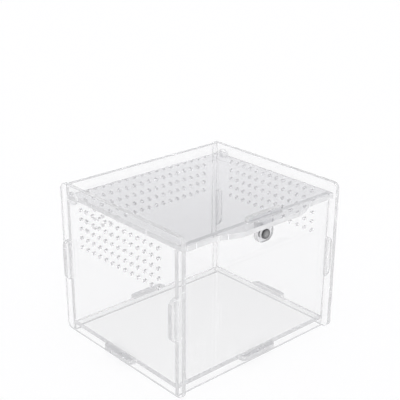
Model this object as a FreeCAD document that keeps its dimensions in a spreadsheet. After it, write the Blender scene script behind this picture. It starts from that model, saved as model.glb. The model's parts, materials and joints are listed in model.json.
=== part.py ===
import FreeCAD, Part
import math
import os
import re
import Sketcher

# Driving sizes, in millimetres and in counts
driving_sizes = {
    # Acrylic sheet, which every plate is cut from
    "plate": 3.0,
    # Room inside the box, and the height of the side and back walls
    "inner_width": 120.0,
    "inner_depth": 97.0,
    "wall_height": 99.0,
    # Side walls run past the front and the back by this much, and have round corners
    "wall_margin": 4.5,
    "wall_corner_radius": 4.0,
    # Tabs, and the slots that they pass through
    "tab_reach": 3.5,
    "tab_corner_radius": 3.5,
    "tab_clearance": 0.1,
    "floor_tab_length": 27.0,
    "end_tab_length": 26.0,
    # Underside of the floor plate above the ground, and of the closed lid below the tops of the walls
    "floor_lift": 4.0,
    "lid_drop": 9.0,
    # Lid, its gaps and its finger lip
    "lid_rest_gap": 0.2,
    "lid_side_gap": 0.5,
    "lid_overhang": 4.0,
    "lid_corner_radius": 2.0,
    "lip_reach": 6.0,
    "lip_flat": 40.0,
    "lip_ramp": 22.0,
    # Hinge: flat lugs of the lid turn in round holes of the side walls
    "hinge_inset": 4.5,
    "lug_width": 7.4,
    "hinge_clearance": 0.06,
    # Vent fields, whose upper rows lie this far below the lid's underside
    "vent_diameter": 2.0,
    "vent_sides": 12,
    "vent_pitch": 6.0,
    "vent_rows": 5,
    "vent_margin": 11.5,
    "side_vent_drop": 3.4,
    "back_vent_drop": 0.5,
    # Catch: a grip bar on the lid, a tongue under it, and a pair of magnets
    "catch_gap": 1.0,
    "catch_drop": 6.5,
    "tongue_width": 13.0,
    "tongue_end": 5.0,
    "tongue_corner_radius": 5.0,
    "grip_width": 28.0,
    "grip_height": 4.0,
    "grip_corner_radius": 1.5,
    "magnet_diameter": 6.0,
    "magnet_thickness": 4.0,
    "magnet_chamfer": 0.3,
    "magnet_clearance": 0.05,
    # Cuts run this far past both faces of a plate
    "overrun": 1.0,
    # Places closer than this count as the same
    "same_place": 0.001,
}

doc = FreeCAD.newDocument("terrarium")
sizes = doc.addObject("Spreadsheet::Sheet", "sizes")
for row, (size_name, number) in enumerate(driving_sizes.items(), start=1):
    sizes.set(f"A{row}", size_name)
    sizes.set(f"B{row}", str(number))
    sizes.setAlias(f"B{row}", size_name)
doc.recompute()

# Sizes that follow from the driving ones
lid_level = "(wall_height - lid_drop)"
floor_middle = "(floor_lift + plate / 2)"
front_tab_middle = f"((floor_lift + plate + {lid_level}) / 2)"
back_tab_middle = "(wall_height / 2)"
tab_span = "(plate + tab_reach)"
wall_depth = "(inner_depth + 2 * plate + 2 * wall_margin)"
middle_y = "((lid_overhang + lip_reach - wall_margin) / 2)"
panel_offset = "((inner_depth + plate) / 2)"
axis_to_panel = "(inner_depth - hinge_inset + plate)"
axis_to_front = f"({axis_to_panel} + lid_overhang)"
axis_to_catch = f"({axis_to_panel} + catch_gap + plate / 2)"
hinge_radius = "(sqrt(lug_width ^ 2 + plate ^ 2) / 2 + hinge_clearance)"
seat_radius = "(magnet_diameter / 2 + magnet_clearance)"
vent_corner_radius = "(vent_diameter / 2 / cos(180 / vent_sides))"
catch_to_grip = "(catch_drop + plate)"
magnet_level = f"({lid_level} - catch_drop)"
magnet_proud = "(magnet_thickness - plate)"
lip_root = "(lip_flat + 2 * lip_ramp)"


def linked(text):
    # Writes the sheet's name before each size that an expression uses
    return re.sub(r"[a-z_]+", lambda word: f"sizes.{word[0]}" if word[0] in driving_sizes else word[0], text)


def value(text):
    return float(sizes.evalExpression(text))


def new_body(label):
    body = doc.addObject("PartDesign::Body", label)
    body.Label = label
    return body


def place(body, x, y, z):
    body.setExpression("Placement.Base.x", linked(x))
    body.setExpression("Placement.Base.y", linked(y))
    body.setExpression("Placement.Base.z", linked(z))


def new_sketch(body, plane_role, name):
    plane = next(item for item in body.Origin.OriginFeatures if item.Role == plane_role)
    sketch = body.newObject("Sketcher::SketchObject", f"{body.Label}_{name}")
    sketch.AttachmentSupport = [(plane, "")]
    sketch.MapMode = "FlatFace"
    return sketch


# Sketch axes, and the marks of a line's or an arc's points
across_axis = -1
upright_axis = -2
origin_point = (-1, 1)
first_end = 1
second_end = 2
centre = 3


def dimension(sketch, kind, start, end, text):
    # A driven length between two points, bound to the sheet
    index = sketch.addConstraint(Sketcher.Constraint(kind, *start, *end, value(text)))
    sketch.setExpression(f"Constraints[{index}]", linked(text))


def hold(sketch, point, kind, text):
    # Holds a point at a signed distance from the sketch's origin
    side = value(text)
    if side > 0:
        dimension(sketch, kind, origin_point, point, text)
    elif side < 0:
        dimension(sketch, kind, point, origin_point, f"-({text})")
    else:
        axis = upright_axis if kind == "DistanceX" else across_axis
        sketch.addConstraint(Sketcher.Constraint("PointOnObject", *point, axis))


def flat_point(x, y):
    return FreeCAD.Vector(x, y, 0)


def rectangle(sketch, left, right, low, high):
    x0, x1, y0, y1 = (value(text) for text in (left, right, low, high))
    corners = [flat_point(x0, y0), flat_point(x1, y0), flat_point(x1, y1), flat_point(x0, y1)]
    lines = [sketch.addGeometry(Part.LineSegment(corners[i - 1], corners[i])) for i in (1, 2, 3, 0)]
    bottom, right_side, top, left_side = lines
    for this, following in zip(lines, lines[1:] + lines[:1]):
        sketch.addConstraint(Sketcher.Constraint("Coincident", this, second_end, following, first_end))
    for line in (bottom, top):
        sketch.addConstraint(Sketcher.Constraint("Horizontal", line))
    for line in (right_side, left_side):
        sketch.addConstraint(Sketcher.Constraint("Vertical", line))
    hold(sketch, (bottom, first_end), "DistanceX", left)
    hold(sketch, (bottom, first_end), "DistanceY", low)
    hold(sketch, (top, first_end), "DistanceX", right)
    hold(sketch, (top, first_end), "DistanceY", high)


def circle(sketch, x, y, radius):
    ring = Part.Circle(flat_point(value(x), value(y)), FreeCAD.Vector(0, 0, 1), value(radius))
    index = sketch.addGeometry(ring)
    hold(sketch, (index, centre), "DistanceX", x)
    hold(sketch, (index, centre), "DistanceY", y)
    constraint = sketch.addConstraint(Sketcher.Constraint("Radius", index, value(radius)))
    sketch.setExpression(f"Constraints[{constraint}]", linked(radius))
    return index


def polygon(sketch, x, y, corner_radius, sides):
    # Equal sides with their ends on a guide circle, and the first side level
    guide = circle(sketch, x, y, corner_radius)
    sketch.setConstruction(guide, True)
    count = int(value(sides))
    step = 2 * math.pi / count
    corners = []
    for number in range(count):
        angle = (number - 1 / 2) * step - math.pi / 2
        reach = flat_point(math.cos(angle), math.sin(angle)) * value(corner_radius)
        corners.append(flat_point(value(x), value(y)) + reach)
    lines = []
    for start, end in zip(corners, corners[1:] + corners[:1]):
        lines.append(sketch.addGeometry(Part.LineSegment(start, end)))
    for this, following in zip(lines, lines[1:] + lines[:1]):
        sketch.addConstraint(Sketcher.Constraint("Coincident", this, second_end, following, first_end))
        sketch.addConstraint(Sketcher.Constraint("PointOnObject", this, first_end, guide))
    for line in lines[1:]:
        sketch.addConstraint(Sketcher.Constraint("Equal", lines[0], line))
    sketch.addConstraint(Sketcher.Constraint("Horizontal", lines[0]))


def pad(body, sketch, thickness="plate"):
    # Grows a sketch evenly to both sides of its plane
    feature = body.newObject("PartDesign::Pad", f"{sketch.Name}_pad")
    feature.Profile = sketch
    feature.SideType = "Symmetric"
    feature.setExpression("Length", linked(thickness))
    doc.recompute()
    return feature


def cut(body, sketch, thickness="plate"):
    # Cuts a sketch through both faces of the plate
    feature = body.newObject("PartDesign::Pocket", f"{sketch.Name}_cut")
    feature.Profile = sketch
    feature.SideType = "Symmetric"
    feature.setExpression("Length", linked(f"{thickness} + 2 * overrun"))
    doc.recompute()
    if feature.Shape.Volume >= feature.BaseFeature.Shape.Volume:
        raise RuntimeError(f"{feature.Name} removes nothing")
    return feature


def padded_rectangle(body, plane_role, name, left, right, low, high):
    sketch = new_sketch(body, plane_role, name)
    rectangle(sketch, left, right, low, high)
    return pad(body, sketch)


def cut_rectangle(body, plane_role, name, left, right, low, high):
    sketch = new_sketch(body, plane_role, name)
    rectangle(sketch, left, right, low, high)
    return cut(body, sketch)


def cut_circle(body, plane_role, name, x, y, radius):
    sketch = new_sketch(body, plane_role, name)
    circle(sketch, x, y, radius)
    return cut(body, sketch)


def edges_across_plate(feature, normal, chosen):
    # Names of the edges that run through the plate's thickness at the chosen places
    names = []
    for number, edge in enumerate(feature.Shape.Edges, start=1):
        run = edge.Vertexes[-1].Point - edge.Vertexes[0].Point
        along = abs(abs(run.dot(normal)) - value("plate")) < value("same_place")
        if along and abs(edge.Length - value("plate")) < value("same_place") and chosen(edge.CenterOfMass):
            names.append(f"Edge{number}")
    return names


def round_corners(body, name, normal, chosen, radius):
    base = body.Tip
    edges = edges_across_plate(base, normal, chosen)
    feature = body.newObject("PartDesign::Fillet", f"{body.Label}_{name}")
    feature.Base = (base, edges)
    feature.setExpression("Radius", linked(radius))
    doc.recompute()


def at(coordinate, text):
    # Tells whether a coordinate lies at plus or minus a size
    return abs(abs(coordinate) - value(text)) < value("same_place")


def vent_field(body, plane_role, room, drop):
    # One many-sided hole at the field's upper corner, repeated along the row and down the rows
    steps = f"(2 * floor(({room} / 2 - vent_margin) / vent_pitch))"
    sketch = new_sketch(body, plane_role, "vent")
    polygon(sketch, f"{steps} / 2 * vent_pitch", f"{lid_level} - {drop}", vent_corner_radius, "vent_sides")
    hole = cut(body, sketch)
    field = body.newObject("PartDesign::LinearPattern", f"{body.Label}_vents")
    field.Originals = [hole]
    field.Direction = (sketch, ["H_Axis"])
    field.Reversed = True
    field.setExpression("Length", linked(f"{steps} * vent_pitch"))
    field.setExpression("Occurrences", linked(f"{steps} + 1"))
    field.Direction2 = (sketch, ["V_Axis"])
    field.Reversed2 = True
    field.setExpression("Length2", linked("(vent_rows - 1) * vent_pitch"))
    field.setExpression("Occurrences2", linked("vent_rows"))
    body.Tip = field
    doc.recompute()


def tab_slot(body, plane_role, name, middle_across, middle_up, length_across, length_up):
    # Slot for a tab, larger than the tab by the clearance on every side
    half_across = f"({length_across} / 2 + tab_clearance)"
    half_up = f"({length_up} / 2 + tab_clearance)"
    cut_rectangle(body, plane_role, name,
                  f"{middle_across} - {half_across}", f"{middle_across} + {half_across}",
                  f"{middle_up} - {half_up}", f"{middle_up} + {half_up}")


def make_side_wall(label, side):
    # Upright plate with round corners, seen from the side: Y across, Z up
    wall = new_body(label)
    half_depth = f"{wall_depth} / 2"
    padded_rectangle(wall, "YZ_Plane", "outline", f"-{half_depth}", half_depth, "0", "wall_height")
    round_corners(wall, "corners", FreeCAD.Vector(1, 0, 0), lambda point: at(point.y, half_depth),
                  "wall_corner_radius")
    tab_slot(wall, "YZ_Plane", "floor_slot", "0", floor_middle, "floor_tab_length", "plate")
    tab_slot(wall, "YZ_Plane", "front_slot", f"-{panel_offset}", front_tab_middle, "plate", "end_tab_length")
    tab_slot(wall, "YZ_Plane", "back_slot", panel_offset, back_tab_middle, "plate", "end_tab_length")
    cut_circle(wall, "YZ_Plane", "hinge_hole", "inner_depth / 2 - hinge_inset", f"{lid_level} + plate / 2",
               hinge_radius)
    vent_field(wall, "YZ_Plane", "inner_depth", "side_vent_drop")
    place(wall, f"{side} * (inner_width + plate) / 2", middle_y, "0")
    return wall


def make_cross_panel(label, side, height, tab_middle):
    # Upright plate between the side walls, with one tab at each end, and a slot for the floor's tab
    panel = new_body(label)
    half_width = "inner_width / 2"
    half_span = f"(inner_width / 2 + {tab_span})"
    padded_rectangle(panel, "XZ_Plane", "outline", f"-{half_width}", half_width, "0", height)
    padded_rectangle(panel, "XZ_Plane", "end_tabs", f"-{half_span}", half_span,
                     f"{tab_middle} - end_tab_length / 2", f"{tab_middle} + end_tab_length / 2")
    round_corners(panel, "tab_corners", FreeCAD.Vector(0, 1, 0), lambda point: at(point.x, half_span),
                  "tab_corner_radius")
    tab_slot(panel, "XZ_Plane", "floor_slot", "0", floor_middle, "floor_tab_length", "plate")
    place(panel, "0", f"{middle_y} + {side} * {panel_offset}", "0")
    return panel


def make_back_wall():
    wall = make_cross_panel("back_wall", "1", "wall_height", back_tab_middle)
    vent_field(wall, "XZ_Plane", "inner_width", "back_vent_drop")
    return wall


def make_front_panel():
    panel = make_cross_panel("front_panel", "-1", f"{lid_level} - lid_rest_gap", front_tab_middle)
    cut_circle(panel, "XZ_Plane", "magnet_seat", "0", magnet_level, seat_radius)
    return panel


def make_floor_plate():
    # Level plate with one tab through each of the four walls
    plate = new_body("floor_plate")
    half_width = "inner_width / 2"
    half_depth = "inner_depth / 2"
    half_tab = "floor_tab_length / 2"
    span_across = f"(inner_width / 2 + {tab_span})"
    span_along = f"(inner_depth / 2 + {tab_span})"
    padded_rectangle(plate, "XY_Plane", "outline", f"-{half_width}", half_width, f"-{half_depth}", half_depth)
    padded_rectangle(plate, "XY_Plane", "side_tabs", f"-{span_across}", span_across, f"-{half_tab}", half_tab)
    padded_rectangle(plate, "XY_Plane", "end_tabs", f"-{half_tab}", half_tab, f"-{span_along}", span_along)
    round_corners(plate, "tab_corners", FreeCAD.Vector(0, 0, 1),
                  lambda point: at(point.x, span_across) or at(point.y, span_along), "tab_corner_radius")
    place(plate, "0", middle_y, floor_middle)
    return plate


def draw_lip(sketch):
    # Lip in front of the lid: a flat middle, and a ramp of two equal arcs on each side
    root = value(lip_root) / 2
    flat = value("lip_flat") / 2
    near = -value(axis_to_front)
    far = near - value("lip_reach")
    ramp = value("lip_ramp")
    reach = value("lip_reach")
    radius = (ramp ** 2 + reach ** 2) / (4 * reach)
    sweep = math.asin(ramp / 2 / radius)
    up = math.pi / 2
    down = 3 * math.pi / 2
    z_axis = FreeCAD.Vector(0, 0, 1)

    def arc(x, y, start, end):
        return sketch.addGeometry(Part.ArcOfCircle(Part.Circle(flat_point(x, y), z_axis, radius), start, end))

    left_inner = arc(-root, near - radius, up - sweep, up)
    left_outer = arc(-flat, far + radius, down - sweep, down)
    front = sketch.addGeometry(Part.LineSegment(flat_point(-flat, far), flat_point(flat, far)))
    right_outer = arc(flat, far + radius, down, down + sweep)
    right_inner = arc(root, near - radius, up, up + sweep)
    back = sketch.addGeometry(Part.LineSegment(flat_point(root, near), flat_point(-root, near)))
    # The outline, corner by corner
    sketch.addConstraint(Sketcher.Constraint("Tangent", left_inner, first_end, left_outer, first_end))
    sketch.addConstraint(Sketcher.Constraint("Coincident", left_outer, second_end, front, first_end))
    sketch.addConstraint(Sketcher.Constraint("Coincident", front, second_end, right_outer, first_end))
    sketch.addConstraint(Sketcher.Constraint("Tangent", right_outer, second_end, right_inner, second_end))
    sketch.addConstraint(Sketcher.Constraint("Coincident", right_inner, first_end, back, first_end))
    sketch.addConstraint(Sketcher.Constraint("Coincident", back, second_end, left_inner, second_end))
    # Each arc leaves the straight edge beside it without a corner
    sketch.addConstraint(Sketcher.Constraint("Vertical", left_inner, centre, left_inner, second_end))
    sketch.addConstraint(Sketcher.Constraint("Vertical", left_outer, centre, left_outer, second_end))
    sketch.addConstraint(Sketcher.Constraint("Vertical", right_outer, centre, right_outer, first_end))
    sketch.addConstraint(Sketcher.Constraint("Vertical", right_inner, centre, right_inner, first_end))
    sketch.addConstraint(Sketcher.Constraint("Equal", left_inner, left_outer))
    sketch.addConstraint(Sketcher.Constraint("Equal", right_inner, right_outer))
    # Even on both sides of the middle
    sketch.addConstraint(Sketcher.Constraint("Symmetric", front, first_end, front, second_end, upright_axis))
    sketch.addConstraint(Sketcher.Constraint("Symmetric", back, first_end, back, second_end, upright_axis))
    dimension(sketch, "DistanceX", (front, first_end), (front, second_end), "lip_flat")
    dimension(sketch, "DistanceX", (back, second_end), (back, first_end), lip_root)
    dimension(sketch, "DistanceY", (back, second_end), origin_point, axis_to_front)
    dimension(sketch, "DistanceY", (front, first_end), origin_point, f"{axis_to_front} + lip_reach")


def make_lid():
    # Plate that turns about the X axis of its own frame, which runs through its two lugs
    lid = new_body("lid")
    half_width = "(inner_width / 2 - lid_side_gap)"
    half_span = "(inner_width / 2 + plate)"
    half_lug = "lug_width / 2"
    padded_rectangle(lid, "XY_Plane", "outline", f"-{half_width}", half_width, f"-{axis_to_front}", half_lug)
    round_corners(lid, "corners", FreeCAD.Vector(0, 0, 1), lambda point: at(point.y, axis_to_front),
                  "lid_corner_radius")
    padded_rectangle(lid, "XY_Plane", "lugs", f"-{half_span}", half_span, f"-{half_lug}", half_lug)
    lip = new_sketch(lid, "XY_Plane", "lip")
    draw_lip(lip)
    pad(lid, lip)
    tab_slot(lid, "XY_Plane", "catch_slot", "0", f"-{axis_to_catch}", "tongue_width", "plate")
    place(lid, "0", f"{middle_y} + inner_depth / 2 - hinge_inset", f"{lid_level} + plate / 2")
    return lid


catch_y = f"{middle_y} - {panel_offset} - plate - catch_gap"


def make_catch_plate():
    # Upright plate about its magnet: tongue with a round end below, and a wider grip bar on the lid
    plate = new_body("catch_plate")
    half_tongue = "tongue_width / 2"
    half_grip = "grip_width / 2"
    grip_top = f"({catch_to_grip} + grip_height)"
    padded_rectangle(plate, "XZ_Plane", "grip", f"-{half_grip}", half_grip, catch_to_grip, grip_top)
    round_corners(plate, "grip_corners", FreeCAD.Vector(0, 1, 0), lambda point: at(point.x, half_grip),
                  "grip_corner_radius")
    padded_rectangle(plate, "XZ_Plane", "tongue", f"-{half_tongue}", half_tongue,
                     "-tongue_end", catch_to_grip)
    round_corners(plate, "tongue_corners", FreeCAD.Vector(0, 1, 0), lambda point: at(point.z, "tongue_end"),
                  "tongue_corner_radius")
    cut_circle(plate, "XZ_Plane", "magnet_seat", "0", "0", seat_radius)
    place(plate, "0", catch_y, magnet_level)
    return plate


def make_magnet(label, y):
    # Disc with both rims taken off
    magnet = new_body(label)
    disc = new_sketch(magnet, "XZ_Plane", "disc")
    circle(disc, "0", "0", "magnet_diameter / 2")
    blank = pad(magnet, disc, "magnet_thickness")
    rims = [f"Edge{number}" for number, edge in enumerate(blank.Shape.Edges, start=1)
            if isinstance(edge.Curve, Part.Circle)]
    chamfer = magnet.newObject("PartDesign::Chamfer", f"{label}_rims")
    chamfer.Base = (blank, rims)
    chamfer.setExpression("Size", linked("magnet_chamfer"))
    place(magnet, "0", y, magnet_level)
    return magnet


pieces = [
    make_side_wall("left_wall", "-1"),
    make_side_wall("right_wall", "1"),
    make_back_wall(),
    make_front_panel(),
    make_floor_plate(),
    make_lid(),
    make_catch_plate(),
    make_magnet("lid_magnet", f"{catch_y} - {magnet_proud} / 2"),
    make_magnet("keeper_magnet", f"{middle_y} - {panel_offset} + {magnet_proud} / 2"),
]
doc.recompute()

for item in doc.Objects:
    if "Invalid" in item.State or "Error" in item.State:
        raise RuntimeError(f"{item.Name} failed: {item.State}")
for piece in pieces:
    if piece.Shape.isNull() or not piece.Shape.isValid() or len(piece.Shape.Solids) != 1:
        raise RuntimeError(f"{piece.Label} is not one good solid")

os.makedirs("parts", exist_ok=True)
for piece in pieces:
    piece.Shape.exportStep(f"parts/{piece.Label}.step")
    box = piece.Shape.BoundBox
    print(f"{piece.Label}: volume {piece.Shape.Volume:.1f},"
          f" from ({box.XMin:.2f}, {box.YMin:.2f}, {box.ZMin:.2f})"
          f" to ({box.XMax:.2f}, {box.YMax:.2f}, {box.ZMax:.2f})")
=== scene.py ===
import json
import math
import bmesh
import bpy
from mathutils import Matrix, Vector


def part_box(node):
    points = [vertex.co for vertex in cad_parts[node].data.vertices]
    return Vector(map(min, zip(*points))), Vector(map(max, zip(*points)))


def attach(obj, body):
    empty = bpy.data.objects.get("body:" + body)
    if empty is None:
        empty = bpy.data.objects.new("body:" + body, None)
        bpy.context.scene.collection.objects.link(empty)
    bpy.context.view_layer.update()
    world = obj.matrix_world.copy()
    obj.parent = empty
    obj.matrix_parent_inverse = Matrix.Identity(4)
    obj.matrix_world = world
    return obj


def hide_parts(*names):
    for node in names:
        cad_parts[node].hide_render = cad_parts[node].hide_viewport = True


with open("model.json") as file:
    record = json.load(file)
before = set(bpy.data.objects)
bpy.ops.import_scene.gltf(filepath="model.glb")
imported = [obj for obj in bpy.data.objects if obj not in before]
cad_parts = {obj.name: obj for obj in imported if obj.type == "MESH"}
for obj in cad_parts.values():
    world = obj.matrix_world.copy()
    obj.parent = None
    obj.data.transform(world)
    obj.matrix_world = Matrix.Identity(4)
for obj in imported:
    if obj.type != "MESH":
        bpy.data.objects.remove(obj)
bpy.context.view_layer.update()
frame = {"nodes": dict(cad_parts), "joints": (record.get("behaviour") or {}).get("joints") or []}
mm = 0.001
evenly = (1, 1, 1)   # noise that is drawn out in no direction
print("frame loaded:", sorted(frame["nodes"]))


def startMaterial(name):
    mat = bpy.data.materials.new(name)
    mat.use_nodes = True
    mat.node_tree.nodes.clear()
    return mat, mat.node_tree.nodes, mat.node_tree.links


def addNode(nodes, kind, inputs=None, **settings):
    node = nodes.new(kind)
    for key, value in settings.items():
        setattr(node, key, value)
    for key, value in (inputs or {}).items():
        node.inputs[key].default_value = value
    return node


noiseRange = dict(roughness=0.55, low=0.3, high=0.7)   # nearly all of the noise lies between low and high


def objectNoise(nodes, links, stretch, scale, detail):
    # noise on the piece's own place, stretched along its axes
    place = addNode(nodes, "ShaderNodeTexCoord")
    turn = addNode(nodes, "ShaderNodeMapping", {"Scale": stretch})
    noise = addNode(nodes, "ShaderNodeTexNoise", {
        "Scale": scale, "Detail": detail, "Roughness": noiseRange["roughness"]})
    links.new(place.outputs["Object"], turn.inputs["Vector"])
    links.new(turn.outputs["Vector"], noise.inputs["Vector"])
    return noise.outputs["Fac"]


def spread(nodes, links, source, low, high):
    # noise widened to run from low to high
    ramp = addNode(nodes, "ShaderNodeMapRange", {
        "From Min": noiseRange["low"], "From Max": noiseRange["high"], "To Min": low, "To Max": high})
    links.new(source, ramp.inputs["Value"])
    return ramp.outputs["Result"]


def roughen(nodes, links, body, height, strength, depth):
    bump = addNode(nodes, "ShaderNodeBump", {"Strength": strength, "Distance": depth})
    links.new(height, bump.inputs["Height"])
    links.new(bump.outputs["Normal"], body.inputs["Normal"])


def lightThrough(nodes, links, surface, tint):
    # lamps and bounced light pass the sheet, so what stands inside is lit
    path = addNode(nodes, "ShaderNodeLightPath")
    either = addNode(nodes, "ShaderNodeMath", operation="MAXIMUM")
    clear = addNode(nodes, "ShaderNodeBsdfTransparent", {"Color": tint})
    mix = addNode(nodes, "ShaderNodeMixShader")
    out = addNode(nodes, "ShaderNodeOutputMaterial")
    links.new(path.outputs["Is Shadow Ray"], either.inputs[0])
    links.new(path.outputs["Is Diffuse Ray"], either.inputs[1])
    links.new(either.outputs["Value"], mix.inputs["Fac"])
    links.new(surface, mix.inputs[1])
    links.new(clear.outputs["BSDF"], mix.inputs[2])
    links.new(mix.outputs["Shader"], out.inputs["Surface"])


polishedFace = dict(
    ior=1.49, smear=(0.0, 0.012), filmScale=90, filmDetail=3.0,           # thin film of dust and wiping
    waveScale=22, waveDetail=1.0, waveStrength=0.02, waveDepth=0.8 * mm,   # cast sheet is never quite flat
)


def makePolishedFace(name, tint, passes, smear=polishedFace["smear"], clear=1.0):
    mat, nodes, links = startMaterial(name)
    p = polishedFace
    body = addNode(nodes, "ShaderNodeBsdfPrincipled", {
        "Base Color": tint, "IOR": p["ior"], "Transmission Weight": clear})
    waves = objectNoise(nodes, links, evenly, p["waveScale"], p["waveDetail"])
    roughen(nodes, links, body, waves, p["waveStrength"], p["waveDepth"])
    film = objectNoise(nodes, links, evenly, p["filmScale"], p["filmDetail"])
    links.new(spread(nodes, links, film, *smear), body.inputs["Roughness"])
    lightThrough(nodes, links, body.outputs["BSDF"], passes)
    return mat


cutEdge = dict(
    pale=(0.84, 0.84, 0.845, 1), dark=(0.74, 0.74, 0.748, 1), passes=(0.98, 0.98, 0.98, 1),
    ior=1.49, clear=0.5, matt=(0.16, 0.28), cloudScale=140, cloudDetail=2.0,
    lineScale=900, lineDetail=2.0, lineStretch=0.02, lineStrength=0.06, lineDepth=0.04 * mm,
)
# painted light: some cut edges (the side walls' bottoms, the front panel's top and bottom, the lid's front)
# get paler tones and a less clear body than the rest, lifting the shade they show
paintedPaleEdgeTones = dict(cutEdge, pale=(0.9, 0.9, 0.905, 1), dark=(0.82, 0.82, 0.828, 1), clear=0.35)


def makeCutEdge(name, across, p):
    # fine beam lines run straight through the sheet, so the noise is drawn out along its thickness
    mat, nodes, links = startMaterial(name)
    drawnOut = tuple(p["lineStretch"] if axis == across else 1.0 for axis in "XYZ")
    lines = objectNoise(nodes, links, drawnOut, p["lineScale"], p["lineDetail"])
    clouds = objectNoise(nodes, links, evenly, p["cloudScale"], p["cloudDetail"])
    colour = addNode(nodes, "ShaderNodeMix", {"A": p["dark"], "B": p["pale"]}, data_type="RGBA")
    body = addNode(nodes, "ShaderNodeBsdfPrincipled", {"IOR": p["ior"], "Transmission Weight": p["clear"]})
    links.new(spread(nodes, links, clouds, 0.0, 1.0), colour.inputs["Factor"])
    links.new(colour.outputs["Result"], body.inputs["Base Color"])
    links.new(spread(nodes, links, lines, *p["matt"]), body.inputs["Roughness"])
    roughen(nodes, links, body, lines, p["lineStrength"], p["lineDepth"])
    lightThrough(nodes, links, body.outputs["BSDF"], p["passes"])
    return mat


polishedAcrylic = makePolishedFace("polishedAcrylic", (0.972, 0.972, 0.974, 1), (0.99, 0.99, 0.99, 1))
# painted light: the floor plate is tinted clearer than the walls of the same sheet and lets more lamp light
# through, so that it and the paper under it read brighter
floorAcrylicPaintedLight = makePolishedFace("floorAcrylicPaintedLight", (0.994, 0.994, 0.994, 1), (0.998, 0.998, 0.998, 1))
# painted shade: the lid and the catch plate are tinted greyer than the walls, though cut from the same sheet,
# for the dim room they mirror
lidAcrylicPaintedShade = makePolishedFace("lidAcrylicPaintedShade", (0.828, 0.828, 0.842, 1), (0.992, 0.992, 0.992, 1))
# painted shade: the floor plate's tabs are tinted grey for the shadow beneath them and the dim room mirrored
# in them; they are also rougher and half clear
tabAcrylicPaintedShade = makePolishedFace("tabAcrylicPaintedShade", (0.7, 0.7, 0.714, 1), (0.95, 0.95, 0.955, 1),
                              smear=(0.2, 0.32), clear=0.5)
ventBore = makePolishedFace("ventBore", (0.9, 0.9, 0.905, 1), (0.98, 0.98, 0.98, 1),
                            smear=(0.04, 0.14), clear=0.9)
seatBore = makePolishedFace("seatBore", (0.86, 0.86, 0.87, 1), (0.98, 0.98, 0.98, 1),
                            smear=(0.4, 0.55), clear=0.15)
# one finish for each way that a sheet can lie
edgeAcross = {axis: makeCutEdge(f"laserEdge{axis}", axis, cutEdge) for axis in "XYZ"}
# painted light: paler copies of the cut edge, for the sides that show shade
paintedPaleEdge = {axis: makeCutEdge(f"paintedPaleEdge{axis}", axis, paintedPaleEdgeTones) for axis in "XYZ"}
print("acrylic finishes ready")

# one sheet of acrylic, which all plates are cut from
sheet = dict(
    thickness=3 * mm,
    chamfer=0.16 * mm,        # broken edge left by the cutter
    jointGap=0.05 * mm,       # hairline where two plates butt
    joinWithin=0.05 * mm,     # bends that meet share one point
    splitWithin=0.0001 * mm,
    ventSides=16,
    roundSteps=7,
    smoothAngle=30,
    flatOver=0.9,             # a normal that points this much one way marks a flat face
    edgeOver=0.5,             # and this much, one side's edge with its rounding
)
facing = {   # how a flat drawing stands in the box: its two directions, then the sheet's thickness
    "X": Matrix(((0, 0, 1, 0), (1, 0, 0, 0), (0, 1, 0, 0), (0, 0, 0, 1))),
    "Y": Matrix(((1, 0, 0, 0), (0, 0, -1, 0), (0, 1, 0, 0), (0, 0, 0, 1))),
    "Z": Matrix.Identity(4),
}


def drawOutline(bm, corners, slots, holes):
    points = [bm.verts.new((u, v, 0)) for u, v, r in corners]
    bm.faces.new(points)
    for size in sorted({r for u, v, r in corners if r}):
        picked = [point for point, (u, v, r) in zip(points, corners) if r == size]
        bmesh.ops.bevel(bm, geom=picked, offset=size, offset_type="OFFSET", segments=sheet["roundSteps"],
                        profile=0.5, affect="VERTICES", material=-1, clamp_overlap=True)
    bmesh.ops.remove_doubles(bm, verts=bm.verts[:], dist=sheet["joinWithin"])
    bmesh.ops.delete(bm, geom=bm.faces[:], context="FACES_ONLY")
    for u0, u1, v0, v1 in slots:
        ring = [bm.verts.new((u, v, 0)) for u, v in ((u0, v0), (u1, v0), (u1, v1), (u0, v1))]
        for a, b in zip(ring, ring[1:] + ring[:1]):
            bm.edges.new((a, b))
    for u, v, radius, sides in holes:
        bmesh.ops.create_circle(bm, segments=sides, radius=radius, matrix=Matrix.Translation((u, v, 0)))
    bmesh.ops.triangle_fill(bm, use_beauty=True, use_dissolve=False, edges=bm.edges[:])


def thicken(bm):
    # straight cut through the sheet, then a broken edge on both faces
    chamfer = sheet["chamfer"]
    straight = sheet["thickness"] - 2 * chamfer
    raised = bmesh.ops.extrude_face_region(bm, geom=bm.faces[:])["geom"]
    upper = [part for part in raised if isinstance(part, bmesh.types.BMVert)]
    bmesh.ops.translate(bm, vec=(0, 0, straight), verts=upper)
    bmesh.ops.translate(bm, vec=(0, 0, -straight / 2), verts=bm.verts[:])
    bmesh.ops.recalc_face_normals(bm, faces=bm.faces[:])
    for side in (1, -1):
        cap = [f for f in bm.faces if f.normal.z * side > sheet["flatOver"]]
        bmesh.ops.inset_region(bm, faces=cap, thickness=chamfer, depth=chamfer,
                               use_boundary=True, use_even_offset=True)


def addPiece(name, bm, finishes):
    mesh = bpy.data.meshes.new(name)
    bm.to_mesh(mesh)
    bm.free()
    mesh.set_sharp_from_angle(angle=math.radians(sheet["smoothAngle"]))
    for finish in finishes:
        mesh.materials.append(finish)
    piece = bpy.data.objects.new(name, mesh)
    bpy.context.scene.collection.objects.link(piece)
    return piece


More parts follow.
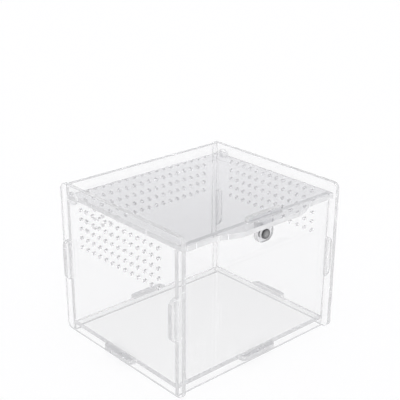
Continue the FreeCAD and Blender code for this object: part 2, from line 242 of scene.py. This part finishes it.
def cutPlate(name, across, middle, corners, slots=(), rounds=(), vents=(), face=polishedAcrylic,
             tabsPast=(), paintedPaleSides=()):
    # corners: (u, v, rounding); slots: (u0, u1, v0, v1); rounds: (u, v, radius, sides); vents: (u, v, radius)
    # tabsPast: lines (u, v, direction u, direction v) beyond which the plate is a tab
    # pale sides: 1 and -1 for the upper and lower edges of the drawing, which get the painted paler edge
    # tones
    bm = bmesh.new()
    drawOutline(bm, corners, slots, [*rounds, *((u, v, r, sheet["ventSides"]) for u, v, r in vents)])
    thicken(bm)
    for u, v, du, dv in tabsPast:
        bmesh.ops.bisect_plane(bm, geom=bm.verts[:] + bm.edges[:] + bm.faces[:], dist=sheet["splitWithin"],
                               plane_co=(u, v, 0), plane_no=(du, dv, 0))
    bores = [(u, v, r, ventBore) for u, v, r in vents] + [(u, v, r, seatBore) for u, v, r, sides in rounds]
    finishes = []
    for f in bm.faces:
        spot = f.calc_center_median()
        if abs(f.normal.z) > sheet["flatOver"]:
            onTab = any((spot.x - u) * du + (spot.y - v) * dv > 0 for u, v, du, dv in tabsPast)
            finish = tabAcrylicPaintedShade if onTab else face
        else:
            inBore = (bore for u, v, r, bore in bores
                      if math.hypot(spot.x - u, spot.y - v) < r + sheet["chamfer"])
            # painted light: the chosen sides' edges take the paler copy
            isPaintedPale = any(f.normal.y * side > sheet["edgeOver"] for side in paintedPaleSides)
            finish = next(inBore, (paintedPaleEdge if isPaintedPale else edgeAcross)[across])
        if finish not in finishes:
            finishes.append(finish)
        f.material_index = finishes.index(finish)
        f.smooth = True
    bmesh.ops.transform(bm, matrix=Matrix.Translation(middle) @ facing[across], verts=bm.verts[:])
    bmesh.ops.recalc_face_normals(bm, faces=bm.faces[:])
    return addPiece(name, bm, finishes)


def standsFor(piece, node, body):
    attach(piece, body)
    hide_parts(node)
    print("made", piece.name, len(piece.data.polygons), "faces")


# places shared by the plates, from the frame
leftLow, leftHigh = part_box("left_wall")
rightLow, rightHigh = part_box("right_wall")
backLow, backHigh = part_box("back_wall")
frontLow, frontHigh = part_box("front_panel")
floorLow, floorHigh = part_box("floor_plate")
lidLow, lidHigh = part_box("lid")
catchLow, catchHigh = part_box("catch_plate")
lidMagnetLow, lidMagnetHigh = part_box("lid_magnet")
insideX = rightLow.x
insideFront = frontHigh.y
insideBack = backLow.y
roomMiddle = (insideFront + insideBack) / 2
frontMiddle = (frontLow.y + frontHigh.y) / 2
backMiddle = (backLow.y + backHigh.y) / 2
floorMiddle = (floorLow.z + floorHigh.z) / 2
frontTabMiddle = (floorHigh.z + lidLow.z) / 2
backTabMiddle = backHigh.z / 2
gap = sheet["jointGap"]
halfSheet = sheet["thickness"] / 2
tabs = dict(floorHalf=13.5 * mm, endHalf=13 * mm, rounding=3.5 * mm, clearance=0.1 * mm)
hinge = dict(axis=frame["joints"][0]["pos_m"], radius=4.052 * mm, sides=32)
ventGrid = dict(radius=1 * mm, pitch=6 * mm, rows=5,
                sideHalf=36 * mm, sideDrop=3.4 * mm, backHalf=48 * mm, backDrop=0.5 * mm)


def slotFor(u, v, halfU, halfV):
    c = tabs["clearance"]
    return (u - halfU - c, u + halfU + c, v - halfV - c, v + halfV + c)


def ventField(middle, half, drop):
    # half: from the middle to the outer columns; drop: from the lid's underside to the upper row
    pitch = ventGrid["pitch"]
    columns = 2 * round(half / pitch) + 1
    top = lidLow.z - drop
    return [(middle + half - i * pitch, top - j * pitch, ventGrid["radius"])
            for i in range(columns) for j in range(ventGrid["rows"])]


def bothHalves(right):
    # an outline's right half, and its mirror image on the left
    return right + [(-u, v, r) for u, v, r in reversed(right)]


sideWall = dict(rounding=4 * mm)


def makeSideWall(name, node, low, high):
    r = sideWall["rounding"]
    corners = [(low.y, low.z, r), (high.y, low.z, r), (high.y, high.z, r), (low.y, high.z, r)]
    slots = [
        slotFor(roomMiddle, floorMiddle, tabs["floorHalf"], halfSheet),
        slotFor(frontMiddle, frontTabMiddle, halfSheet, tabs["endHalf"]),
        slotFor(backMiddle, backTabMiddle, halfSheet, tabs["endHalf"]),
    ]
    hingeHole = (hinge["axis"][1], hinge["axis"][2], hinge["radius"], hinge["sides"])
    plate = cutPlate(name, "X", ((low.x + high.x) / 2, 0, 0), corners, slots, [hingeHole],
                     ventField(roomMiddle, ventGrid["sideHalf"], ventGrid["sideDrop"]), paintedPaleSides=[-1])
    standsFor(plate, node, "box")


makeSideWall("leftWall", "left_wall", leftLow, leftHigh)
makeSideWall("rightWall", "right_wall", rightLow, rightHigh)


def crossOutline(low, high, tabMiddle):
    # straight between the side walls, with one tab at each end
    u = insideX - gap
    t0, t1 = tabMiddle - tabs["endHalf"], tabMiddle + tabs["endHalf"]
    r = tabs["rounding"]
    return bothHalves([(u, low.z, 0), (u, t0, 0), (high.x, t0, r),
                       (high.x, t1, r), (u, t1, 0), (u, high.z, 0)])


floorSlot = slotFor(0, floorMiddle, tabs["floorHalf"], halfSheet)
backWall = cutPlate("backWall", "Y", (0, backMiddle, 0), crossOutline(backLow, backHigh, backTabMiddle),
                    [floorSlot], vents=ventField(0, ventGrid["backHalf"], ventGrid["backDrop"]))
standsFor(backWall, "back_wall", "box")

magnetSeat = dict(radius=3.05 * mm, sides=36, height=(lidMagnetLow.z + lidMagnetHigh.z) / 2)
seatHole = (0, magnetSeat["height"], magnetSeat["radius"], magnetSeat["sides"])
frontPanel = cutPlate("frontPanel", "Y", (0, frontMiddle, 0),
                      crossOutline(frontLow, frontHigh, frontTabMiddle),
                      [floorSlot], [seatHole], paintedPaleSides=[1, -1])
standsFor(frontPanel, "front_panel", "box")


def floorOutline():
    # fills the room, with one tab through each wall
    u = insideX - gap
    v0, v1 = insideFront + gap, insideBack - gap
    half, r = tabs["floorHalf"], tabs["rounding"]
    t0, t1 = roomMiddle - half, roomMiddle + half
    right = [(u, v0, 0), (u, t0, 0), (floorHigh.x, t0, r), (floorHigh.x, t1, r), (u, t1, 0), (u, v1, 0)]
    back = [(half, v1, 0), (half, floorHigh.y, r), (-half, floorHigh.y, r), (-half, v1, 0)]
    left = [(-x, y, k) for x, y, k in reversed(right)]
    front = [(-half, v0, 0), (-half, floorLow.y, r), (half, floorLow.y, r), (half, v0, 0)]
    return right + back + left + front


floorTabLines = [(rightHigh.x, 0, 1, 0), (leftLow.x, 0, -1, 0), (0, backHigh.y, 0, 1), (0, frontLow.y, 0, -1)]
floorPlate = cutPlate("floorPlate", "Z", (0, 0, floorMiddle), floorOutline(),
                      face=floorAcrylicPaintedLight, tabsPast=floorTabLines)
standsFor(floorPlate, "floor_plate", "box")

lidShape = dict(sideGap=0.5 * mm, lugHalf=3.7 * mm, overhang=4 * mm, rounding=2 * mm,
                lipReach=6 * mm, lipFlat=40 * mm, lipRamp=22 * mm, tongueHalf=6.5 * mm,
                bendShare=0.999)   # keeps a hair of room between the two bends of a ramp


def lidOutline():
    p = lidShape
    u = insideX - p["sideGap"]
    back, lug = lidHigh.y, lidHigh.y - 2 * p["lugHalf"]
    front = frontLow.y - p["overhang"]
    # both bends of a ramp meet halfway
    ease = (p["lipRamp"] ** 2 + p["lipReach"] ** 2) / (4 * p["lipRamp"])
    bend = ease * p["bendShare"]
    tip = p["lipFlat"] / 2
    root = tip + p["lipRamp"]
    return bothHalves([(tip + ease, lidLow.y, bend), (root - ease, front, bend), (u, front, p["rounding"]),
                       (u, lug, 0), (lidHigh.x, lug, 0), (lidHigh.x, back, 0)])


catchMiddle = (catchLow.y + catchHigh.y) / 2
catchSlot = slotFor(0, catchMiddle, lidShape["tongueHalf"], halfSheet)
lidPlate = cutPlate("lidPlate", "Z", (0, 0, (lidLow.z + lidHigh.z) / 2), lidOutline(), [catchSlot],
                    face=lidAcrylicPaintedShade, paintedPaleSides=[-1])
standsFor(lidPlate, "lid", "lid")

catchShape = dict(gripRounding=1.5 * mm, tongueRounding=5 * mm)


def catchOutline():
    # grip bar on the lid, tongue through it, round end about the magnet
    t = lidShape["tongueHalf"]
    bar = lidHigh.z + gap
    r = catchShape["gripRounding"]
    return bothHalves([(t, catchLow.z, catchShape["tongueRounding"]), (t, bar, 0),
                       (catchHigh.x, bar, r), (catchHigh.x, catchHigh.z, r)])


# the catch plate takes the lid's painted-shade tint
catchPlate = cutPlate("catchPlate", "Y", (0, catchMiddle, 0), catchOutline(),
                      rounds=[seatHole], face=lidAcrylicPaintedShade)
standsFor(catchPlate, "catch_plate", "lid")

# one nickel plating in painted light and shade: a dark copy and a bright copy, each paler in the middle as a
# painted highlight
plating = dict(
    dark=((0.17, 0.17, 0.173, 1), (0.48, 0.48, 0.485, 1)),      # painted-shade copy: its dull tone, then the paler middle painted as a highlight
    # painted-light copy of the same plating, for the faces across the gap between the magnets
    bright=((0.62, 0.62, 0.625, 1), (0.72, 0.72, 0.725, 1)),
    matt=(0.22, 0.38), paintedPaleReach=(0.8 * mm, 2.4 * mm), patches=(0.3, 1.0),
    markScale=900, markDetail=3.0, markStrength=0.15, markDepth=0.03 * mm,
)


def makePlating(name, tones, middle):
    # painted highlight: paler about the middle of the face, in random patches, which leaves a painted dark
    # rim
    mat, nodes, links = startMaterial(name)
    p = plating
    dull, pale = tones
    paintedPaleFully, paintedPaleNever = p["paintedPaleReach"]
    marks = objectNoise(nodes, links, evenly, p["markScale"], p["markDetail"])
    place = addNode(nodes, "ShaderNodeTexCoord")
    away = addNode(nodes, "ShaderNodeVectorMath", {1: middle}, operation="DISTANCE")
    fade = addNode(nodes, "ShaderNodeMapRange", {
        "From Min": paintedPaleFully, "From Max": paintedPaleNever, "To Min": 1.0, "To Max": 0.0})
    patchy = addNode(nodes, "ShaderNodeMath", operation="MULTIPLY")
    colour = addNode(nodes, "ShaderNodeMix", {"A": dull, "B": pale}, data_type="RGBA")
    body = addNode(nodes, "ShaderNodeBsdfPrincipled", {"Metallic": 1.0})
    out = addNode(nodes, "ShaderNodeOutputMaterial")
    links.new(place.outputs["Object"], away.inputs[0])
    links.new(away.outputs["Value"], fade.inputs["Value"])
    links.new(fade.outputs["Result"], patchy.inputs[0])
    links.new(spread(nodes, links, marks, *p["patches"]), patchy.inputs[1])
    links.new(patchy.outputs["Value"], colour.inputs["Factor"])
    links.new(colour.outputs["Result"], body.inputs["Base Color"])
    links.new(spread(nodes, links, marks, *p["matt"]), body.inputs["Roughness"])
    roughen(nodes, links, body, marks, p["markStrength"], p["markDepth"])
    links.new(body.outputs["BSDF"], out.inputs["Surface"])
    return mat


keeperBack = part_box("keeper_magnet")[1].y
# painted shade on the lid magnet's front and sides and on the keeper's back; painted light on the keeper's
# front and sides and on the lid magnet's back, across the gap
paintedShadeNickel = makePlating("paintedShadeNickel", plating["dark"], (0, lidMagnetLow.y, magnetSeat["height"]))
paintedLightNickel = makePlating("paintedLightNickel", plating["bright"], (0, keeperBack, magnetSeat["height"]))
magnet = dict(radius=3 * mm, rim=0.3 * mm, rimSteps=3, sides=48, levelWithin=0.01 * mm)


def makeMagnet(name, node, body, finish, backFinish):
    # the back is the face toward the inside of the box
    low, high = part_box(node)
    middle = (0, (low.y + high.y) / 2, (low.z + high.z) / 2)
    bm = bmesh.new()
    bmesh.ops.create_cone(bm, cap_ends=True, segments=magnet["sides"], radius1=magnet["radius"],
                          radius2=magnet["radius"], depth=high.y - low.y)
    rims = [e for e in bm.edges if abs(e.verts[0].co.z - e.verts[1].co.z) < magnet["levelWithin"]]
    bmesh.ops.bevel(bm, geom=rims, offset=magnet["rim"], offset_type="OFFSET", segments=magnet["rimSteps"],
                    profile=0.5, affect="EDGES", material=-1)
    bmesh.ops.transform(bm, matrix=Matrix.Translation(middle) @ facing["Y"], verts=bm.verts[:])
    bmesh.ops.recalc_face_normals(bm, faces=bm.faces[:])
    for f in bm.faces:
        f.material_index = 1 if f.normal.y > sheet["flatOver"] else 0
        f.smooth = True
    disc = addPiece(name, bm, [finish, backFinish])
    standsFor(disc, node, body)


makeMagnet("lidMagnet", "lid_magnet", "lid", paintedShadeNickel, paintedLightNickel)
makeMagnet("keeperMagnet", "keeper_magnet", "box", paintedLightNickel, paintedShadeNickel)
print("plates and magnets stand in the frame")

studio = dict(floorSize=12.0, floorDrop=0.05 * mm, floorColour=(0.9, 0.9, 0.9, 1),
              floorLift=0.12, liftColour=(1, 1, 1, 1),
              skyColour=(0.985, 0.985, 1.0, 1), skyStrength=(1.05, 0.45), skyFade=(17, 26),
              lampStrength=1.6, lampSpread=75, lampTilt=(24, -14))


def makePaper():
    # white paper, lifted a little for the eye alone, so that it lights the box no more than paper does
    mat, nodes, links = startMaterial("whitePaper")
    paper = addNode(nodes, "ShaderNodeBsdfDiffuse", {"Color": studio["floorColour"]})
    glow = addNode(nodes, "ShaderNodeEmission", {"Color": studio["liftColour"]})
    path = addNode(nodes, "ShaderNodeLightPath")
    first = addNode(nodes, "ShaderNodeMath", operation="MAXIMUM")
    second = addNode(nodes, "ShaderNodeMath", operation="MAXIMUM")
    power = addNode(nodes, "ShaderNodeMath", {1: studio["floorLift"]}, operation="MULTIPLY")
    add = addNode(nodes, "ShaderNodeAddShader")
    out = addNode(nodes, "ShaderNodeOutputMaterial")
    links.new(path.outputs["Is Camera Ray"], first.inputs[0])
    links.new(path.outputs["Is Glossy Ray"], first.inputs[1])
    links.new(first.outputs["Value"], second.inputs[0])
    links.new(path.outputs["Is Transmission Ray"], second.inputs[1])
    links.new(second.outputs["Value"], power.inputs[0])
    links.new(power.outputs["Value"], glow.inputs["Strength"])
    links.new(paper.outputs["BSDF"], add.inputs[0])
    links.new(glow.outputs["Emission"], add.inputs[1])
    links.new(add.outputs["Shader"], out.inputs["Surface"])
    return mat


def makeFloor():
    bm = bmesh.new()
    bmesh.ops.create_grid(bm, x_segments=1, y_segments=1, size=studio["floorSize"] / 2,
                          matrix=Matrix.Translation((0, 0, -studio["floorDrop"])))
    floor = addPiece("paperFloor", bm, [makePaper()])


def makeSky():
    # bright low down, as pale walls about a table are, and dimmer overhead
    world = bpy.data.worlds.new("studioSky")
    bpy.context.scene.world = world
    world.use_nodes = True
    nodes, links = world.node_tree.nodes, world.node_tree.links
    low, high = (math.sin(math.radians(angle)) for angle in studio["skyFade"])
    bright, dim = studio["skyStrength"]
    sky = nodes["Background"]
    sky.inputs["Color"].default_value = studio["skyColour"]
    place = addNode(nodes, "ShaderNodeTexCoord")
    split = addNode(nodes, "ShaderNodeSeparateXYZ")
    fade = addNode(nodes, "ShaderNodeMapRange", {
        "From Min": low, "From Max": high, "To Min": bright, "To Max": dim}, interpolation_type="SMOOTHSTEP")
    links.new(place.outputs["Generated"], split.inputs["Vector"])
    links.new(split.outputs["Z"], fade.inputs["Value"])
    links.new(fade.outputs["Result"], sky.inputs["Strength"])


def addLamp():
    # one wide even light from above, a little to the front and the left
    light = bpy.data.lights.new("overheadLight", "SUN")
    light.energy = studio["lampStrength"]
    light.angle = math.radians(studio["lampSpread"])
    lamp = bpy.data.objects.new("overheadLight", light)
    forward, sideways = studio["lampTilt"]
    lamp.rotation_euler = (math.radians(forward), math.radians(sideways), 0)
    lamp.visible_glossy = lamp.visible_transmission = False   # no round patch of light mirrored in the sheets
    bpy.context.scene.collection.objects.link(lamp)


makeFloor()
makeSky()
addLamp()
print("paper, sky and lamp ready")

view = dict(azimuth=-42.38, elevation=22.91, roll=0.47, distance=0.5505, target=(0.0044, 0.00275, 0.0727),
            focalPixels=893.7, photoPixels=400, sensorWidth=36, shift=(-0.0129, 0.0513), clip=(0.01, 50))


def placeCamera():
    p = view
    a, e = math.radians(p["azimuth"]), math.radians(p["elevation"])
    back = Vector((math.sin(a) * math.cos(e), -math.cos(a) * math.cos(e), math.sin(e)))
    roll = Matrix.Rotation(math.radians(p["roll"]), 4, "Z")
    turn = back.to_track_quat("Z", "Y").to_matrix().to_4x4() @ roll
    data = bpy.data.cameras.new("photoCamera")
    data.sensor_width = p["sensorWidth"]
    data.lens = p["focalPixels"] / p["photoPixels"] * data.sensor_width
    data.shift_x, data.shift_y = p["shift"]
    data.clip_start, data.clip_end = p["clip"]
    camera = bpy.data.objects.new("photoCamera", data)
    camera.matrix_world = Matrix.Translation(Vector(p["target"]) + back * p["distance"]) @ turn
    bpy.context.scene.collection.objects.link(camera)
    bpy.context.scene.camera = camera


placeCamera()
bounces = dict(through=64, straight=48)   # light crosses many sheets before it leaves the box
setup = bpy.context.scene
setup.view_settings.view_transform = "Standard"
setup.cycles.max_bounces = bounces["through"]
setup.cycles.transmission_bounces = bounces["through"]
setup.cycles.glossy_bounces = bounces["through"]
setup.cycles.transparent_max_bounces = bounces["straight"]
